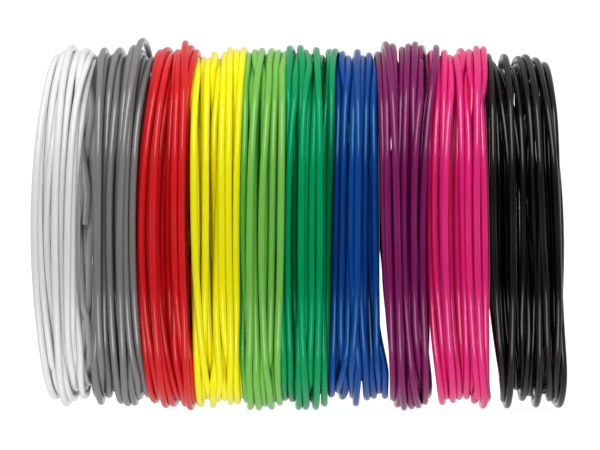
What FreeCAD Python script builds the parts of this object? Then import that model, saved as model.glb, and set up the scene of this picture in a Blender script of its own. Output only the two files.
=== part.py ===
import FreeCAD, Part
import math
import os
import Sketcher

# Ten loose coils of 1.75 mm filament for a three-d pen, one coil to a colour.
# They stand on edge side by side, so each coil's axis runs along X.
# The row rests on Z = 0, and the origin is under the middle of the row.
# Each coil is one closed ring: the outer shape of its wound turns.

# Driving dimensions in millimetres, shared by every coil.
SHARED = {
    "coil_gap": 0.3,        # air between one coil and the next
    "flat_chord": 14.0,     # front-to-back length of the flat a coil stands on
    "outer_round": 2.8,     # round of the ring's outer edges
    "inner_round": 2.0,     # round of the ring's inner edges
}

# Colour, width along the row, outer diameter, and radial build of the turns.
COILS = [
    ("white", 12.7, 92.0, 7.4),
    ("grey", 14.2, 93.3, 7.4),
    ("red", 11.4, 92.5, 7.2),
    ("yellow", 11.8, 92.5, 7.2),
    ("light_green", 9.0, 92.3, 8.2),
    ("green", 13.2, 92.7, 7.2),
    ("blue", 10.9, 91.3, 7.8),
    ("purple", 12.9, 93.8, 7.6),
    ("pink", 14.3, 93.0, 7.2),
    ("black", 18.1, 91.0, 6.8),
]

ORIGIN_POINT = (-1, 1)      # a sketch's own origin, in its constraints
START, END = 1, 2           # the ends of a sketch line


def fill_sheet(doc):
    """Write every driving dimension into the sheet, one aliased cell each."""
    sheet = doc.addObject("Spreadsheet::Sheet", "Sizes")
    rows = list(SHARED.items())
    for colour, width, diameter, build in COILS:
        rows.append((colour + "_width", width))
        rows.append((colour + "_diameter", diameter))
        rows.append((colour + "_build", build))
    for number, (alias, value) in enumerate(rows, start=1):
        sheet.set("A%d" % number, alias)
        sheet.set("B%d" % number, str(value))
        sheet.setAlias("B%d" % number, alias)
    doc.recompute()
    return sheet


def origin_plane(body, role):
    """Return one of the body's own origin planes."""
    return next(f for f in body.Origin.OriginFeatures if f.Role == role)


def add_sketch(body, name, role):
    """Add a sketch on one of the body's origin planes."""
    sketch = body.newObject("Sketcher::SketchObject", name)
    sketch.AttachmentSupport = [(origin_plane(body, role), "")]
    sketch.MapMode = "FlatFace"
    return sketch


def draw_rectangle(sketch, low, high):
    """Draw a closed rectangle; its sides come bottom, right, top, left."""
    corners = [
        FreeCAD.Vector(low[0], low[1], 0),
        FreeCAD.Vector(high[0], low[1], 0),
        FreeCAD.Vector(high[0], high[1], 0),
        FreeCAD.Vector(low[0], high[1], 0),
    ]
    for side in range(4):
        sketch.addGeometry(Part.LineSegment(corners[side], corners[(side + 1) % 4]), False)
    for side in range(4):
        sketch.addConstraint(Sketcher.Constraint("Coincident", side, END, (side + 1) % 4, START))
    for side, kind in enumerate(("Horizontal", "Vertical", "Horizontal", "Vertical")):
        sketch.addConstraint(Sketcher.Constraint(kind, side))


def bind(sketch, name, constraint, expression):
    """Add a named dimension to a sketch and drive it from the sheet."""
    index = sketch.addConstraint(constraint)
    sketch.renameConstraint(index, name)
    sketch.setExpression("Constraints." + name, expression)


def add_profile(body, colour, width, diameter, build):
    """Sketch the section of the turns, above the coil's own axis."""
    inner = diameter / 2 - build
    sketch = add_sketch(body, colour + "_section", "XZ_Plane")
    draw_rectangle(sketch, (-width / 2, inner), (width / 2, diameter / 2))
    sized = Sketcher.Constraint
    bind(sketch, "width", sized("DistanceX", 0, START, 0, END, width),
         "Sizes.%s_width" % colour)
    bind(sketch, "half_width", sized("DistanceX", *ORIGIN_POINT, 0, END, width / 2),
         "Sizes.%s_width / 2" % colour)
    bind(sketch, "inner_radius", sized("DistanceY", *ORIGIN_POINT, 0, END, inner),
         "Sizes.%s_diameter / 2 - Sizes.%s_build" % (colour, colour))
    bind(sketch, "build", sized("DistanceY", 1, START, 1, END, build),
         "Sizes.%s_build" % colour)
    return sketch


def revolve_ring(body, colour, sketch):
    """Turn the section once round the coil's axis."""
    ring = body.newObject("PartDesign::Revolution", colour + "_turns")
    ring.Profile = sketch
    ring.ReferenceAxis = (sketch, ["H_Axis"])
    ring.Angle = 360
    body.Document.recompute()
    return ring


def round_edges(body, base, name, radius, outside, size):
    """Round the ring's outer or its inner pair of circular edges."""
    names = []
    for number, edge in enumerate(base.Shape.Edges, start=1):
        if not isinstance(edge.Curve, Part.Circle):
            continue
        if abs(edge.Curve.Axis.x) > 0.5 and (edge.Curve.Radius > radius) == outside:
            names.append("Edge%d" % number)
    rounded = body.newObject("PartDesign::Fillet", name)
    rounded.Base = (base, names)
    rounded.setExpression("Radius", "Sizes." + size)
    body.Document.recompute()
    return rounded


def axis_height(colour):
    """Say how high the coil's axis stands, as an expression on the sheet."""
    return "sqrt((Sizes.%s_diameter / 2)^2 - (Sizes.flat_chord / 2)^2)" % colour


def cut_standing_flat(body, colour, diameter, width):
    """Cut the short flat that the coil stands on, right across its width."""
    radius = diameter / 2
    chord = SHARED["flat_chord"]
    height = math.sqrt(radius ** 2 - (chord / 2) ** 2)
    sketch = add_sketch(body, colour + "_flat", "YZ_Plane")
    draw_rectangle(sketch, (-chord, -radius - 1), (chord, -height))
    sized = Sketcher.Constraint
    bind(sketch, "half_length", sized("DistanceX", *ORIGIN_POINT, 0, END, chord),
         "Sizes.flat_chord")
    bind(sketch, "length", sized("DistanceX", 0, START, 0, END, 2 * chord),
         "Sizes.flat_chord * 2")
    bind(sketch, "axis_height", sized("DistanceY", 2, START, *ORIGIN_POINT, height),
         axis_height(colour))
    bind(sketch, "below", sized("DistanceY", 1, START, *ORIGIN_POINT, radius + 1),
         "Sizes.%s_diameter / 2 + 1" % colour)
    before = body.Tip.Shape.Volume
    pocket = body.newObject("PartDesign::Pocket", colour + "_standing_flat")
    pocket.Profile = sketch
    pocket.Type = "ThroughAll"
    pocket.Midplane = True
    body.Document.recompute()
    removed = before - pocket.Shape.Volume
    if not 0.3 * width < removed < chord * (radius - height) * width:
        raise ValueError("%s: the standing flat cut %.2f mm3" % (colour, removed))


def add_coil(doc, colour, width, diameter, build, place):
    """Build one coil as a body and stand it at its place in the row."""
    name = "filament_coil_" + colour
    body = doc.addObject("PartDesign::Body", name)
    body.Label = name
    section = add_profile(body, colour, width, diameter, build)
    ring = revolve_ring(body, colour, section)
    middle = (diameter - build) / 2
    ring = round_edges(body, ring, colour + "_outer_edges", middle, True, "outer_round")
    round_edges(body, ring, colour + "_inner_edges", middle, False, "inner_round")
    cut_standing_flat(body, colour, diameter, width)
    body.setExpression("Placement.Base.x", place)
    body.setExpression("Placement.Base.z", axis_height(colour))
    return body


def places_along_row():
    """Work out each coil's middle along X, as expressions on the sheet."""
    widths = ["Sizes.%s_width" % coil[0] for coil in COILS]
    whole = " + ".join(widths) + " + %d * Sizes.coil_gap" % (len(COILS) - 1)
    places = []
    for number, own in enumerate(widths):
        before = "".join(" + %s + Sizes.coil_gap" % width for width in widths[:number])
        places.append("%s / 2%s - (%s) / 2" % (own, before, whole))
    return places


def check_document(doc, coils):
    """Stop if any object failed or any coil isn't one valid closed solid."""
    for item in doc.Objects:
        if "Invalid" in item.State or "Error" in item.State:
            raise ValueError("%s failed: %s" % (item.Name, item.State))
    for coil in coils:
        shape = coil.Shape
        if shape.isNull() or not shape.isValid() or len(shape.Solids) != 1:
            raise ValueError("%s isn't one valid solid" % coil.Label)


def main():
    doc = FreeCAD.newDocument("filament_coils")
    fill_sheet(doc)
    coils = []
    for (colour, width, diameter, build), place in zip(COILS, places_along_row()):
        coils.append(add_coil(doc, colour, width, diameter, build, place))
    doc.recompute()
    check_document(doc, coils)
    os.makedirs("parts", exist_ok=True)
    for coil in coils:
        coil.Shape.exportStep("parts/%s.step" % coil.Label)
        box = coil.Shape.optimalBoundingBox(True, False)
        print("%-26s x %7.2f to %7.2f, z %5.2f to %5.2f, %6.0f mm3"
              % (coil.Label, box.XMin, box.XMax, box.ZMin, box.ZMax, coil.Shape.Volume))


main()
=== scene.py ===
import bpy
import math
import numpy as np
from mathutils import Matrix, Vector


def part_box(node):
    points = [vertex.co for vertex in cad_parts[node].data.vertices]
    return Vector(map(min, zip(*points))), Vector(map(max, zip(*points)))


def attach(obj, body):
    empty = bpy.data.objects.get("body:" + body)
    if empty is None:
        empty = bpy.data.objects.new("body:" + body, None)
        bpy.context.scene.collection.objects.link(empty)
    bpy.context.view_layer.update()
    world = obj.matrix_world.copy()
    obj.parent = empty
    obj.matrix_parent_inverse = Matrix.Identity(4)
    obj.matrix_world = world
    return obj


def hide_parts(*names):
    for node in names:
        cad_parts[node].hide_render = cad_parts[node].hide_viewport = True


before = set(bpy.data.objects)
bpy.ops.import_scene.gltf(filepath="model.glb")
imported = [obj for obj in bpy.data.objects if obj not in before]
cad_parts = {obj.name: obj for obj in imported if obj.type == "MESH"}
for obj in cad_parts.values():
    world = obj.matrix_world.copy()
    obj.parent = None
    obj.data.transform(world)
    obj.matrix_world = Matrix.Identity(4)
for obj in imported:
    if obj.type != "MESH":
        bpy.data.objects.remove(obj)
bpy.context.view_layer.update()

# ---------------------------------------------------------------- the filament and its turns

STRAND = 0.00175         # diameter of the filament
TURNS = 19               # turns in each coil, about five metres of filament
STEPS = 60               # places worked out round one turn
SPACING = 1.02 * STRAND  # how near the middles of two strands may come
WOUND_FROM = -90.0       # a turn starts at the back of the coil; 0 is the top and 90 the front

COLOURS = ("white", "grey", "red", "yellow", "light_green",
           "green", "blue", "purple", "pink", "black")

# How high above the floor most of a coil's turns end; a few longer ones reach down to it.
CLEARANCE = {"white": 0.0025, "grey": 0.001, "red": 0.0, "yellow": 0.0008, "light_green": 0.0,
             "green": 0.0, "blue": 0.0025, "purple": 0.0005, "pink": 0.0008, "black": 0.0005}

# Where a turn's sideways place is set, in degrees from its crest down the front to its foot.
PLACES = (0.0, 25.0, 60.0, 90.0, 120.0, 155.0, 180.0)

# How far each coil's outer turns spread sideways at the crest, the front and the foot, from the
# coil's left flank, in strands.
SPREAD = {
    "white": ((2.5, 8.0), (0.5, 7.0), (2.0, 7.0)),
    "grey": ((1.0, 9.0), (0.5, 7.5), (0.5, 8.5)),
    "red": ((2.0, 6.5), (-0.5, 6.0), (0.5, 7.0)),
    "yellow": ((-0.5, 7.0), (0.5, 6.5), (0.5, 7.0)),
    "light_green": ((0.5, 6.0), (0.0, 5.5), (0.5, 5.0)),
    "green": ((1.0, 7.5), (0.0, 7.0), (0.5, 6.5)),
    "blue": ((0.5, 6.5), (0.0, 5.5), (-0.5, 7.5)),
    "purple": ((-0.5, 8.5), (0.0, 5.5), (2.5, 7.0)),
    "pink": ((0.0, 8.0), (-1.0, 7.0), (1.5, 9.0)),
    "black": ((0.0, 8.5), (-0.5, 9.5), (2.0, 10.5)),
}
# How far a coil's longest turn stands out at the crest and at the foot, in strands.
LONGEST = {"white": (0.5, 1.0), "grey": (1.0, 0.0), "red": (0.7, 0.0), "blue": (0.0, 1.0)}
OUTER = 12               # how many of the turns lie outermost
WANDER = 0.09            # how far an outer turn strays from its own lane, as a share of the spread
USUAL_END = -0.9         # how far a crest or a foot usually stands out beyond the round, in strands
UNEVEN_ENDS = 0.6        # how much that differs from turn to turn
DEEPEST_END = -2.2       # and how far in it may lie


def coil_sizes():
    """Read each coil's left flank, width, usual round and middle height off the frame."""
    sizes = []
    for colour in COLOURS:
        low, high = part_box("filament_coil_" + colour)
        reach = (high[2] - CLEARANCE[colour]) / 2
        sizes.append((low[0], high[0] - low[0], reach - STRAND / 2, high[2] - reach))
    return np.array(sizes)


SIZES = coil_sizes()
LEFT, WIDTH, ROUND, MIDDLE = (SIZES[:, column].reshape(-1, 1, 1) for column in range(4))
STATIONS = WOUND_FROM + 360.0 * np.arange(TURNS * STEPS) / STEPS
ANGLES = np.radians(STATIONS[:STEPS])

DEEP = 0.0076            # how deep the turns lie on each other at the front and the back
SHALLOW = 0.0010         # how much less deep they may lie at the top and the bottom
SETTLING = 360           # rounds of drawing in
FINISHING = 60           # rounds that only clear the last overlaps
DRAW_IN = 0.00003        # how far a turn draws in each round
LAYERS = 2.2             # how many strands deep the outer turns lie on each other at the front
HIDDEN = -2.3            # how far in the hidden turns lie at the crests and the feet, in strands
CARRY = 1.8              # how much further a turn drifts sideways behind its crest and its foot
LEAN_PAST = 1.3          # how far a turn may lean past its coil's flank there, in strands
LOOSE = 3                # how far an outer turn may ever stray past the flank, in strands
BEHIND_CREST = -25.0     # the places, in degrees, where that drift is greatest
BEHIND_FOOT = 205.0
FIRM_AT_FRONT = 0.2      # how firmly a turn keeps to its sideways place in each round
FIRM_BEHIND = 0.02


def smooth_through(knots, values, at):
    """Draw a smooth line through the knots, and read it at the given places."""
    slope = np.gradient(values, knots)
    before = np.clip(np.searchsorted(knots, at, side="right") - 1, 0, len(knots) - 2)
    span = knots[before + 1] - knots[before]
    part = np.clip((at - knots[before]) / span, 0, 1)
    rise = values[before + 1] - values[before]
    bend = (1 - part) * slope[before] - part * slope[before + 1]
    swell = (1 - 2 * part) * rise / span
    return values[before] + part * rise + part * (1 - part) * span * (bend - swell)


def smooth_along(values, passes):
    """Even out values along each coil's whole winding, from turn to turn."""
    path = values.reshape(len(values), -1)
    for _ in range(passes):
        ends = np.concatenate([path[:, :1], path, path[:, -1:]], axis=1)
        path = 0.25 * ends[:, :-2] + 0.5 * path + 0.25 * ends[:, 2:]
    return path.reshape(values.shape)


def close_gaps(outer, lowest, highest, count):
    """Say where hidden turns best close the gaps that the outer turns leave, near the flanks first."""
    taken = sorted([lowest, *outer, highest])
    added = []
    for _ in range(count):
        middles = (np.array(taken[1:]) + taken[:-1]) / 2
        flank = np.minimum(middles - lowest, highest - middles)
        widest = int(np.argmax(np.diff(taken) * (1 + np.exp(-flank ** 2 / 3))))
        added.append((taken[widest] + taken[widest + 1]) / 2)
        taken.insert(widest + 1, added[-1])
    return sorted(added)


def inner_turns(outer, chance):
    """Lay the hidden turns behind the gaps between the outer ones, in no set order."""
    spread = 0.6 * np.sin(np.radians(PLACES))
    lowest, highest = np.min(outer, axis=0) - spread, np.max(outer, axis=0) + spread
    behind = [close_gaps(*sides, TURNS - OUTER) for sides in zip(outer.T, lowest, highest)]
    return list(chance.permutation(np.transpose(behind)))


def outer_turns(colour, chance):
    """Lay one coil's outer turns across its spread, each straying a little from its own lane."""
    lane = (chance.permutation(OUTER) + 0.5) / OUTER
    share = np.clip(lane[:, None] + chance.normal(0, WANDER, (OUTER, 3)), 0, 1)
    spread = np.array(SPREAD[colour])
    ends = spread[:, 0] + share * (spread[:, 1] - spread[:, 0])
    near_front = np.sin(np.radians(PLACES)) ** 2
    nearer_end = np.where(np.array(PLACES) > 90, ends[:, 2:], ends[:, :1])
    return (1 - near_front) * nearer_end + near_front * ends[:, 1:2]


def heights_of_ends(colour, chance):
    """Say how far each outer turn's crest and foot stand out; one of the last is the longest."""
    heights = np.clip(chance.normal(USUAL_END, UNEVEN_ENDS, (OUTER, 2)), DEEPEST_END, 0.0)
    heights[-2] = LONGEST.get(colour, (0.0, 0.0))
    return heights


def sideways_places(colour, outer, lanes, chance):
    """Work out one coil's sideways places along its whole winding, in strand widths."""
    turns = inner_turns(outer, chance) + list(outer)
    # The first and the last coil have no neighbour to lean over on their outer side.
    leftmost = 0.5 if colour == COLOURS[0] else -LEAN_PAST
    rightmost = lanes - 0.5 if colour == COLOURS[-1] else lanes + LEAN_PAST
    angles, places = [], []
    for number, turn in enumerate(turns):
        over = np.clip(turn[0] + CARRY * (turn[0] - turn[1]), leftmost, rightmost)
        under = np.clip(turn[-1] + CARRY * (turn[-1] - turn[-2]), leftmost, rightmost)
        angles += [360.0 * number + angle for angle in (BEHIND_CREST, *PLACES, BEHIND_FOOT)]
        places += [over, *turn, under]
    gaps = (len(PLACES) + 2) * np.arange(1, TURNS)
    drift = np.array([places[gap - 1] + places[gap] for gap in gaps])
    drift = drift + chance.normal(0, 1.5, TURNS - 1)
    spread = np.linspace(0.6, lanes - 0.6, TURNS - 1)
    behind = spread[np.argsort(np.argsort(drift))]
    for number in range(TURNS - 1, 0, -1):
        angles.insert(gaps[number - 1], 360.0 * number - 90.0)
        places.insert(gaps[number - 1], behind[number - 1])
    path = smooth_through(np.array(angles), np.array(places), STATIONS)
    return path.reshape(TURNS, STEPS)


def standing_out(heights):
    """Say how far out each turn lies along its way, in strand widths, and how firmly it's held."""
    near_top = np.exp(-(ANGLES / 0.5) ** 2)
    near_foot = np.exp(-((ANGLES - math.pi) / 0.5) ** 2)
    near_front = 0.3 * np.clip(np.sin(ANGLES), 0, 1) ** 2
    near = near_top + near_foot + near_front + 1e-9
    level = np.full((TURNS, STEPS), HIDDEN)
    hold = np.tile(0.1 * (near_top + near_foot), (TURNS, 1))
    for number, (crest, foot) in enumerate(heights):
        sunk = -LAYERS * (OUTER - 1 - number) / (OUTER - 1)
        row = TURNS - OUTER + number
        level[row] = (near_top * crest + near_foot * foot + near_front * sunk) / near
        hold[row] = 0.2 * np.minimum(near, 1)
    return level, hold


def stack_turns(across, inner):
    """Lay the turns one on another in winding order, each as low as those beneath allow."""
    radii = np.broadcast_to(inner, across.shape).copy()
    for number in range(1, TURNS):
        gap = np.abs(across[:, number:number + 1] - across[:, :number])
        lift = np.sqrt(np.maximum(SPACING ** 2 - gap ** 2, 0))
        over = np.where(gap < SPACING, radii[:, :number] + lift, 0).max(axis=1)
        radii[:, number] = np.maximum(radii[:, number], over)
    return radii


def push_apart(first, second, same):
    """Return how far strands that touch are pushed, across and outward, and which touch."""
    across = first[0][:, :, None] - second[0][:, None]
    outward = first[1][:, :, None] - second[1][:, None]
    apart = np.sqrt(np.maximum(across ** 2 + outward ** 2, 1e-12))
    touching = (apart < SPACING) & ~same
    push = np.where(touching, (SPACING - apart) / apart / 2, 0)
    return push * across, push * outward, touching


def separate(across, radii):
    """Move strands that overlap apart, within each coil and between neighbours."""
    itself = np.eye(TURNS, dtype=bool)[None, :, :, None]
    side, out, touching = push_apart((across, radii), (across, radii), itself)
    side, out, count = side.sum(axis=2), out.sum(axis=2), touching.sum(axis=2)
    level = radii + MIDDLE * np.cos(ANGLES)
    left, right = (across[:-1], level[:-1]), (across[1:], level[1:])
    side_by, out_by, meeting = push_apart(left, right, np.zeros_like(itself))
    side[:-1] += side_by.sum(axis=2)
    out[:-1] += out_by.sum(axis=2)
    count[:-1] += meeting.sum(axis=2)
    side[1:] -= side_by.sum(axis=1)
    out[1:] -= out_by.sum(axis=1)
    count[1:] += meeting.sum(axis=1)
    share = 1 / np.sqrt(np.maximum(count, 1))
    return across + side * share, radii + out * share


def settle_turns(across, outer, level, hold):
    """Let the stacked turns draw in and slip into the gaps, without passing through each other."""
    wanted = across.copy()
    inner = ROUND - DEEP + SHALLOW * np.cos(ANGLES) ** 2
    wanted_radii = ROUND + level * STRAND
    radii = stack_turns(across, inner)
    firm = np.where(np.sin(ANGLES) > -0.5, FIRM_AT_FRONT, FIRM_BEHIND)
    loose = np.where(outer, LOOSE * STRAND, 0.0)
    lowest, highest = LEFT + STRAND / 2 - loose, LEFT + WIDTH - STRAND / 2 + loose
    floor = (MIDDLE - STRAND / 2) / np.maximum(-np.cos(ANGLES), 1e-6)
    for step in range(SETTLING + FINISHING):
        if step < SETTLING:
            drawn = radii - DRAW_IN * (1 - 0.7 * step / SETTLING)
            radii = drawn + hold * (wanted_radii - drawn)
            across = across + firm * (wanted - across)
            across = (across + smooth_along(across, 2)) / 2
            radii = (radii + smooth_along(radii, 2)) / 2
        else:
            across = 0.9 * across + 0.1 * smooth_along(across, 1)
            radii = 0.9 * radii + 0.1 * smooth_along(radii, 1)
        for _ in range(2):
            across, radii = separate(across, radii)
            across = np.clip(across, lowest, highest)
            radii = np.clip(radii, inner, floor)
    return across, radii


def wind_coils():
    """Work out every coil's turns: sideways places and radii, turn by turn."""
    chance = np.random.default_rng(5)
    lanes = (WIDTH / STRAND).ravel()
    laid = [outer_turns(colour, chance) for colour in COLOURS]
    places = [sideways_places(*coil, chance) for coil in zip(COLOURS, laid, lanes)]
    across = LEFT + np.array(places) * STRAND
    outer = (np.arange(TURNS) >= TURNS - OUTER)[None, :, None]
    ends = [heights_of_ends(colour, chance) for colour in COLOURS]
    level, hold = (np.array(parts) for parts in zip(*map(standing_out, ends)))
    return settle_turns(across, outer, level, hold)


def coil_points(across, radii, middle):
    """Turn one coil's places and radii into points along its winding."""
    back = -(radii * np.sin(ANGLES)).ravel()
    up = middle + (radii * np.cos(ANGLES)).ravel()
    return np.stack([across.ravel(), back, up], axis=1)


def filament_curve(name, points):
    """Make one open, smooth round strand that follows the points."""
    curve = bpy.data.curves.new(name, "CURVE")
    curve.dimensions = "3D"
    curve.resolution_u = 2
    curve.bevel_depth = STRAND / 2
    curve.bevel_resolution = 4
    curve.use_fill_caps = True
    spline = curve.splines.new("NURBS")
    spline.points.add(len(points) - 1)
    for point, place in zip(spline.points, points):
        point.co = (*place, 1.0)
    spline.order_u = 3
    spline.use_endpoint_u = True
    piece = bpy.data.objects.new(name, curve)
    bpy.context.scene.collection.objects.link(piece)
    return piece


# ---------------------------------------------------------------- materials


class Signal:
    """A number on a shader socket, so that shader maths reads as arithmetic."""

    def __init__(self, recipe, socket):
        self.recipe = recipe
        self.socket = socket

    def maths(self, operation, first, second=None):
        values = {0: first} if second is None else {0: first, 1: second}
        node = self.recipe.add("ShaderNodeMath", {"operation": operation}, values)
        return Signal(self.recipe, node.outputs[0])

    def __add__(self, other):
        return self.maths("ADD", self, other)

    __radd__ = __add__

    def __sub__(self, other):
        return self.maths("SUBTRACT", self, other)

    def __rsub__(self, other):
        return self.maths("SUBTRACT", other, self)

    def __mul__(self, other):
        return self.maths("MULTIPLY", self, other)

    __rmul__ = __mul__


class Recipe:
    """The node tree of one material, or of the studio's walls."""

    def __init__(self, owner):
        self.owner = owner
        self.owner.use_nodes = True
        self.tree = self.owner.node_tree
        self.shader = self.tree.nodes.get("Principled BSDF")

    def add(self, kind, settings, values):
        """Add a node, apply its settings first, then its sockets' values or links."""
        node = self.tree.nodes.new(kind)
        for setting, value in settings.items():
            setattr(node, setting, value)
        for name, value in values.items():
            self.feed(node.inputs[name], value)
        return node

    def feed(self, socket, value):
        """Give a socket a link or a plain value."""
        if isinstance(value, Signal):
            value = value.socket
        if isinstance(value, bpy.types.NodeSocket):
            self.tree.links.new(value, socket)
        else:
            socket.default_value = value


def linear(red, green, blue):
    """Turn a paint chart's 0 to 255 colour into the shader's linear one."""
    parts = []
    for part in (red, green, blue):
        share = part / 255
        parts.append(share / 12.92 if share <= 0.04045 else ((share + 0.055) / 1.055) ** 2.4)
    return (*parts, 1.0)


def filament_plastic(name, axis, reach_out, colour, pale, painted_shade_colour, sheen, gloss, roughness=0.2):
    """Extruded filament: faint draw lines, an uneven soft gloss, and painted shade: a darker colour on the
    turns that lie further in.
    """
    recipe = Recipe(bpy.data.materials.new(name))
    place = recipe.add("ShaderNodeTexCoord", {}, {}).outputs["Object"]
    parts = recipe.add("ShaderNodeSeparateXYZ", {}, {0: place}).outputs
    across, back, up = (Signal(recipe, parts[number]) for number in range(3))
    height = up - axis
    reach = height.maths("SQRT", back * back + height * height)
    around = height.maths("ARCTAN2", back, height)
    along = recipe.add("ShaderNodeCombineXYZ", {}, {0: across * 2600, 1: reach * 2600, 2: around * 5})
    lines = recipe.add("ShaderNodeTexNoise", {}, {"Vector": along.outputs[0], "Scale": 1.0, "Detail": 3.0})
    drawn = Signal(recipe, lines.outputs[0])
    cloud = recipe.add("ShaderNodeTexNoise", {}, {"Vector": place, "Scale": 60.0, "Detail": 2.0})
    patch = Signal(recipe, cloud.outputs[0])
    tint = recipe.add("ShaderNodeMix", {"data_type": "RGBA"},
                      {0: drawn * 0.5 + patch * 0.5 - 0.2, 6: colour, 7: pale})
    # Painted shade: turns lying further in than the coil's round get the darker painted shade colour,
    # which stands in for the shade between the outer turns.
    sunk = recipe.add("ShaderNodeMapRange", {"interpolation_type": "SMOOTHSTEP"},
                      {"Value": reach, "From Min": reach_out - 1.8 * STRAND,
                       "From Max": reach_out - 0.2 * STRAND, "To Min": 1.0, "To Max": 0.0})
    tint_and_painted_shade = recipe.add("ShaderNodeMix", {"data_type": "RGBA"},
                      {0: sunk.outputs[0], 6: tint.outputs[2], 7: painted_shade_colour})
    relief = recipe.add("ShaderNodeBump", {}, {"Strength": 0.12, "Distance": 0.00004, "Height": drawn})
    recipe.feed(recipe.shader.inputs["Base Color"], tint_and_painted_shade.outputs[2])
    recipe.feed(recipe.shader.inputs["Roughness"], drawn * 0.08 + patch * 0.08 + (roughness - 0.08))
    recipe.feed(recipe.shader.inputs["Normal"], relief.outputs[0])
    recipe.shader.inputs["IOR"].default_value = 1.4
    recipe.shader.inputs["Specular IOR Level"].default_value = gloss
    recipe.shader.inputs["Specular Tint"].default_value = sheen
    return recipe.owner


# Each filament's colour, its paler streaks, the darker colour painted on its turns further in as shade,
# the tint of its gloss, and how glossy it is.
FILAMENTS = {
    "white": (linear(236, 236, 236), linear(243, 243, 243), linear(226, 226, 226), (1, 1, 1, 1), 0.5),
    "grey": (linear(122, 122, 122), linear(132, 132, 132), linear(78, 78, 78), (1, 1, 1, 1), 1.0),
    "red": (linear(218, 24, 32), linear(222, 36, 42), linear(196, 14, 22), (1, 0.7, 0.65, 1), 0.5),
    "yellow": (linear(251, 244, 8), linear(252, 246, 28), linear(238, 224, 0), (1, 1, 0.5, 1), 0.5),
    "light_green": (linear(116, 192, 76), linear(132, 200, 90), linear(16, 158, 50), (1, 1, 0.9, 1), 0.6),
    "green": (linear(0, 152, 86), linear(2, 160, 96), linear(0, 112, 60), (0.1, 1, 0.8, 1), 0.55),
    "blue": (linear(6, 66, 148), linear(12, 74, 156), linear(10, 26, 86), (0.35, 0.9, 1, 1), 0.6),
    "purple": (linear(126, 14, 90), linear(134, 22, 98), linear(84, 4, 56), (1, 0.85, 1, 1), 0.6),
    "pink": (linear(232, 28, 122), linear(238, 42, 132), linear(206, 12, 98), (1, 0.9, 1, 1), 0.8),
    "black": (linear(9, 9, 9), linear(16, 16, 16), linear(5, 5, 5), (1, 1, 1, 1), 0.5),
}


# ---------------------------------------------------------------- camera, floor and light


def place_camera():
    """Stand a long-lens camera level with the coils, square to the row."""
    camera = bpy.data.cameras.new("camera")
    camera.lens = 213.0
    camera.sensor_width = 36.0
    camera.clip_end = 50.0
    stand = bpy.data.objects.new("camera", camera)
    stand.location = (0.0, -0.9, 0.0469)
    stand.rotation_euler = (math.radians(90), 0, 0)
    bpy.context.scene.collection.objects.link(stand)
    bpy.context.scene.camera = stand


def lay_floor():
    """Lay a plain pale floor that glows like a light table, and fades far off at the front."""
    bpy.ops.mesh.primitive_plane_add(size=12.0, location=(0, 0, 0))
    floor = bpy.context.object
    floor.name = "floor"
    recipe = Recipe(bpy.data.materials.new("light_table"))
    place = recipe.add("ShaderNodeTexCoord", {}, {}).outputs["Object"]
    depth = recipe.add("ShaderNodeSeparateXYZ", {}, {0: place}).outputs[1]
    glow = recipe.add("ShaderNodeMapRange", {"interpolation_type": "SMOOTHSTEP"},
                      {"Value": depth, "From Min": -2.4, "From Max": -1.4, "To Min": 0.0, "To Max": 0.95})
    bright = recipe.add("ShaderNodeMix", {"data_type": "RGBA"},
                        {0: glow.outputs[0], 6: (0, 0, 0, 1), 7: (1, 1, 1, 1)})
    recipe.shader.inputs["Base Color"].default_value = (0.5, 0.5, 0.5, 1.0)
    recipe.shader.inputs["Roughness"].default_value = 1.0
    recipe.shader.inputs["Specular IOR Level"].default_value = 0.0
    recipe.feed(recipe.shader.inputs["Emission Color"], bright.outputs[2])
    recipe.shader.inputs["Emission Strength"].default_value = 1.0
    floor.data.materials.append(recipe.owner)
    floor.visible_glossy = False
    floor.visible_diffuse = False


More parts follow.
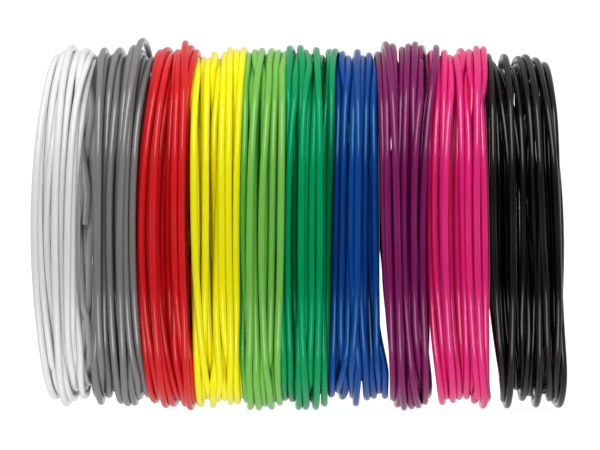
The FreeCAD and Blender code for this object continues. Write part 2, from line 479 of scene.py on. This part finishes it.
def soft_light(name, coils, place, size, power):
    """Set up a soft light that points at the middle of the row and lights only the coils."""
    light = bpy.data.lights.new(name, "AREA")
    light.shape = "RECTANGLE"
    light.size, light.size_y = size
    light.energy = power
    lamp = bpy.data.objects.new(name, light)
    lamp.location = place
    lamp.rotation_euler = (Vector((0, 0, 0.045)) - Vector(place)).to_track_quat("-Z", "Y").to_euler()
    lamp.light_linking.receiver_collection = coils
    lamp.light_linking.blocker_collection = coils
    bpy.context.scene.collection.objects.link(lamp)


def light_studio(coils):
    """Light the coils from a white wall behind, a softbox above and one under the light table."""
    world = bpy.data.worlds.new("studio")
    walls = Recipe(world)
    facing = walls.add("ShaderNodeTexCoord", {}, {}).outputs["Generated"]
    parts = walls.add("ShaderNodeSeparateXYZ", {}, {0: facing}).outputs
    back, up = Signal(walls, parts[1]), Signal(walls, parts[2])
    shade = walls.add("ShaderNodeValToRGB", {}, {"Fac": back * 0.5 + 0.5})
    stops = shade.color_ramp.elements
    stops[0].position, stops[0].color = 0.08, (0.34, 0.34, 0.34, 1)
    stops[1].position, stops[1].color = 0.72, (1.05, 1.05, 1.05, 1)
    side = stops.new(0.25)
    side.color = (0.85, 0.85, 0.85, 1)
    level = walls.add("ShaderNodeMapRange", {"interpolation_type": "SMOOTHSTEP"},
                      {"Value": up.maths("ABSOLUTE", up), "From Min": 0.06, "From Max": 0.35,
                       "To Min": 1.0, "To Max": 0.42})
    sky = walls.tree.nodes["Background"]
    walls.feed(sky.inputs["Color"], shade.outputs[0])
    walls.feed(sky.inputs["Strength"], level.outputs[0])
    bpy.context.scene.world = world
    soft_light("softbox_above", coils, (0.0, -0.32, 0.80), (0.50, 0.60), 5.8)
    soft_light("softbox_below", coils, (0.0, -0.33, -0.70), (0.50, 0.60), 4.8)
    bpy.context.scene.view_settings.view_transform = "Standard"


place_camera()
lay_floor()
coils = bpy.data.collections.new("coils")
bpy.context.scene.collection.children.link(coils)
light_studio(coils)

across_all, radii_all = wind_coils()
for number, colour in enumerate(COLOURS):
    middle, reach_out = float(MIDDLE[number, 0, 0]), float(ROUND[number, 0, 0])
    points = coil_points(across_all[number], radii_all[number], middle)
    coil = filament_curve(colour + "_filament_turns", points)
    coils.objects.link(coil)
    coil.data.materials.append(filament_plastic(colour + "_filament", middle, reach_out,
                                                *FILAMENTS[colour]))
    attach(coil, colour + "_coil")
    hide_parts("filament_coil_" + colour)
